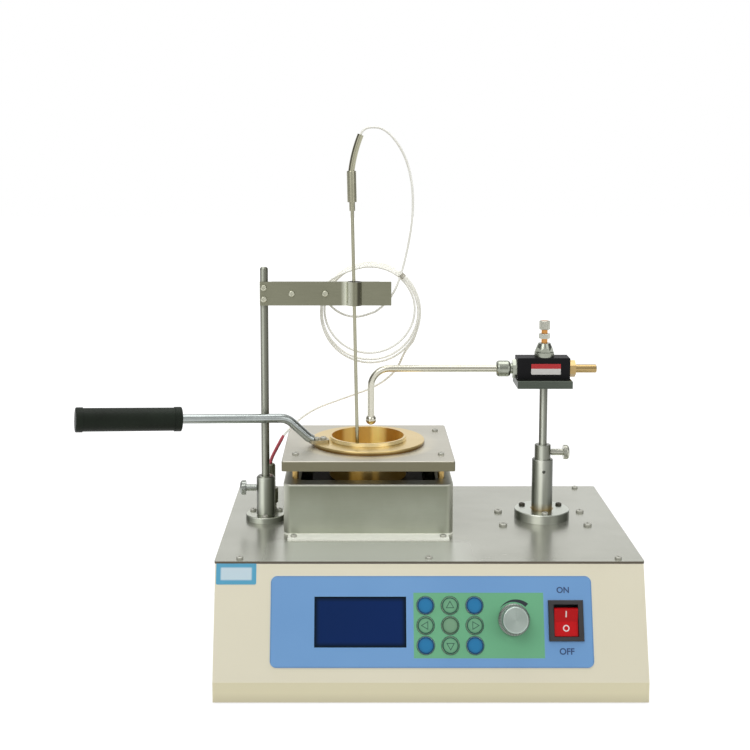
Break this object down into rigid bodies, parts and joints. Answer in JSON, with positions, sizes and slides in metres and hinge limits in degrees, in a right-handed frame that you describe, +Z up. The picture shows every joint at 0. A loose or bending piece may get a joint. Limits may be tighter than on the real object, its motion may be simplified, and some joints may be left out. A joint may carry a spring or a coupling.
{
  "type": "open-cup flash point tester",
  "caption": "Bench flash point tester: sloped control case with steel deck, heated brass cup with handle, probe on a post with looped lead, and a swinging gas burner with needle valve.",
  "frame": {"origin": "centre of the case's footprint, on the plane that the four rubber feet stand on", "axes": "+X to the user's right, +Y away from the user, +Z up"},
  "size_m": [0.4643, 0.25, 0.4466],
  "materials": {
    "case_paint": "satin cream paint",
    "zinc_steel": "zinc plated",
    "black_rubber": "matte",
    "deck_steel": "brushed",
    "screw_steel": "bright",
    "blue_film": "satin blue film",
    "display_glass": "glossy",
    "black_plastic": "matte black",
    "red_plastic": "glossy red",
    "board_green": "solder mask",
    "heater_steel": "satin sheet",
    "heater_black": "matte black",
    "brass": "turned",
    "plate_steel": "ground",
    "turned_steel": "drawn",
    "nickel": "knurled",
    "white_lead": "matte white",
    "core_steel": "laminated",
    "grip_black": "matte black",
    "arm_steel": "brushed",
    "bush_plastic": "matte",
    "sheath_steel": "drawn",
    "saddle_steel": "brushed",
    "valve_black": "black anodised",
    "knob_aluminium": "satin",
    "blue_key": "satin blue",
    "green_key": "satin green",
    "centre_key": "satin"
  },
  "bodies": {
    "case": {"case_shell": "case_paint", "base_pan": "zinc_steel", "rubber_feet": "black_rubber", "deck_plate": "deck_steel", "m3_screws": "screw_steel", "m4_screws": "screw_steel", "front_overlay": "blue_film", "display_window": "display_glass", "rocker_body": "black_plastic", "circuit_boards": "board_green", "heater_box": "heater_steel", "heater_block": "heater_black", "heater_standoffs": "brass", "heater_plate": "plate_steel", "probe_post_base": "turned_steel", "probe_socket": "nickel", "probe_plug": "nickel", "lead_tail_low": "white_lead", "burner_post_base": "turned_steel", "transformer": "core_steel", "mains_inlet": "black_plastic"},
    "cup": {"test_cup": "brass", "cup_handle_bracket": "turned_steel", "cup_handle_screws": "screw_steel", "cup_handle_rod": "turned_steel", "cup_handle_grip": "grip_black"},
    "stand_liner": {"probe_post_liner": "brass", "lead_tail_high": "white_lead"},
    "probe_stand": {"probe_post_rod": "turned_steel", "arm_front_strip": "arm_steel", "arm_back_strip": "arm_steel", "arm_screws": "screw_steel", "probe_bush": "bush_plastic", "lead_coil": "white_lead"},
    "probe": {"probe_sheath": "sheath_steel", "probe_head": "turned_steel", "lead_drop": "white_lead"},
    "stand_lock": {"probe_post_thumb_screw": "nickel"},
    "burner_collar": {"burner_collar": "turned_steel"},
    "burner_lock": {"burner_thumb_screw": "nickel"},
    "burner": {"burner_rod": "turned_steel", "burner_saddle": "saddle_steel", "valve_block": "valve_black", "valve_bonnet": "nickel", "hose_nozzle": "brass", "tube_fitting": "nickel", "burner_tube": "turned_steel"},
    "needle_valve": {"valve_spindle": "brass", "valve_knob": "nickel"},
    "knob": {"control_knob": "knob_aluminium"},
    "rocker": {"rocker_paddle": "red_plastic"},
    "key_top_left": {"key_top_left": "blue_key"},
    "key_up": {"key_up": "green_key"},
    "key_top_right": {"key_top_right": "blue_key"},
    "key_left": {"key_left": "green_key"},
    "key_centre": {"key_centre": "centre_key"},
    "key_right": {"key_right": "green_key"},
    "key_bottom_left": {"key_bottom_left": "blue_key"},
    "key_down": {"key_down": "green_key"},
    "key_bottom_right": {"key_bottom_right": "blue_key"}
  },
  "joints": [
    {"name": "cup_lift", "type": "slide", "parent": "case", "child": "cup", "axis": [0, 0, 1], "range_m": [0, 0.006]},
    {"name": "probe_stand_swing", "type": "hinge", "parent": "case", "child": "stand_liner", "pos_m": [-0.1375, 0.02145, 0.1417], "axis": [0, 0, 1], "range_deg": [0, 27]},
    {"name": "probe_stand_lift", "type": "slide", "parent": "stand_liner", "child": "probe_stand", "axis": [0, 0, 1], "range_m": [0, 0.045]},
    {"name": "probe_slide", "type": "slide", "parent": "probe_stand", "child": "probe", "axis": [-0.0211, 0, 0.9998], "range_m": [0, 0.06]},
    {"name": "probe_stand_lock", "type": "hinge", "parent": "case", "child": "stand_lock", "pos_m": [-0.1495, 0.02145, 0.1316], "axis": [-1, 0, 0], "range_deg": [0, 360]},
    {"name": "burner_swing", "type": "hinge", "parent": "case", "child": "burner_collar", "pos_m": [0.1057, 0.02605, 0.1565], "axis": [0, 0, 1], "range_deg": [-10, 110]},
    {"name": "burner_lift", "type": "slide", "parent": "burner_collar", "child": "burner", "axis": [0, 0, 1], "range_m": [-0.011, 0.02]},
    {"name": "burner_lock", "type": "hinge", "parent": "burner_collar", "child": "burner_lock", "pos_m": [0.1177, 0.02605, 0.1623], "axis": [1, 0, 0], "range_deg": [0, 360]},
    {"name": "needle_valve_turn", "type": "hinge", "parent": "burner", "child": "needle_valve", "pos_m": [0.1057, 0.02605, 0.255], "axis": [0, 0, 1], "range_deg": [0, 720]},
    {"name": "knob_turn", "type": "hinge", "parent": "case", "child": "knob", "pos_m": [0.0654, -0.10881, 0.0622], "axis": [0, -0.9428, 0.3334], "range_deg": [-300, 0]},
    {"name": "rocker_tilt", "type": "hinge", "parent": "case", "child": "rocker", "pos_m": [0.1062, -0.10217, 0.0591], "axis": [1, 0, 0], "range_deg": [-20, 0]},
    {"name": "key_top_left_press", "type": "slide", "parent": "case", "child": "key_top_left", "axis": [0, 0.9428, -0.3334], "range_m": [0, 0.0005], "stiffness_N_per_m": 2000, "springref_m": -0.0005},
    {"name": "key_up_press", "type": "slide", "parent": "case", "child": "key_up", "axis": [0, 0.9428, -0.3334], "range_m": [0, 0.0005], "stiffness_N_per_m": 2000, "springref_m": -0.0005},
    {"name": "key_top_right_press", "type": "slide", "parent": "case", "child": "key_top_right", "axis": [0, 0.9428, -0.3334], "range_m": [0, 0.0005], "stiffness_N_per_m": 2000, "springref_m": -0.0005},
    {"name": "key_left_press", "type": "slide", "parent": "case", "child": "key_left", "axis": [0, 0.9428, -0.3334], "range_m": [0, 0.0005], "stiffness_N_per_m": 2000, "springref_m": -0.0005},
    {"name": "key_centre_press", "type": "slide", "parent": "case", "child": "key_centre", "axis": [0, 0.9428, -0.3334], "range_m": [0, 0.0005], "stiffness_N_per_m": 2000, "springref_m": -0.0005},
    {"name": "key_right_press", "type": "slide", "parent": "case", "child": "key_right", "axis": [0, 0.9428, -0.3334], "range_m": [0, 0.0005], "stiffness_N_per_m": 2000, "springref_m": -0.0005},
    {"name": "key_bottom_left_press", "type": "slide", "parent": "case", "child": "key_bottom_left", "axis": [0, 0.9428, -0.3334], "range_m": [0, 0.0005], "stiffness_N_per_m": 2000, "springref_m": -0.0005},
    {"name": "key_down_press", "type": "slide", "parent": "case", "child": "key_down", "axis": [0, 0.9428, -0.3334], "range_m": [0, 0.0005], "stiffness_N_per_m": 2000, "springref_m": -0.0005},
    {"name": "key_bottom_right_press", "type": "slide", "parent": "case", "child": "key_bottom_right", "axis": [0, 0.9428, -0.3334], "range_m": [0, 0.0005], "stiffness_N_per_m": 2000, "springref_m": -0.0005}
  ]
}
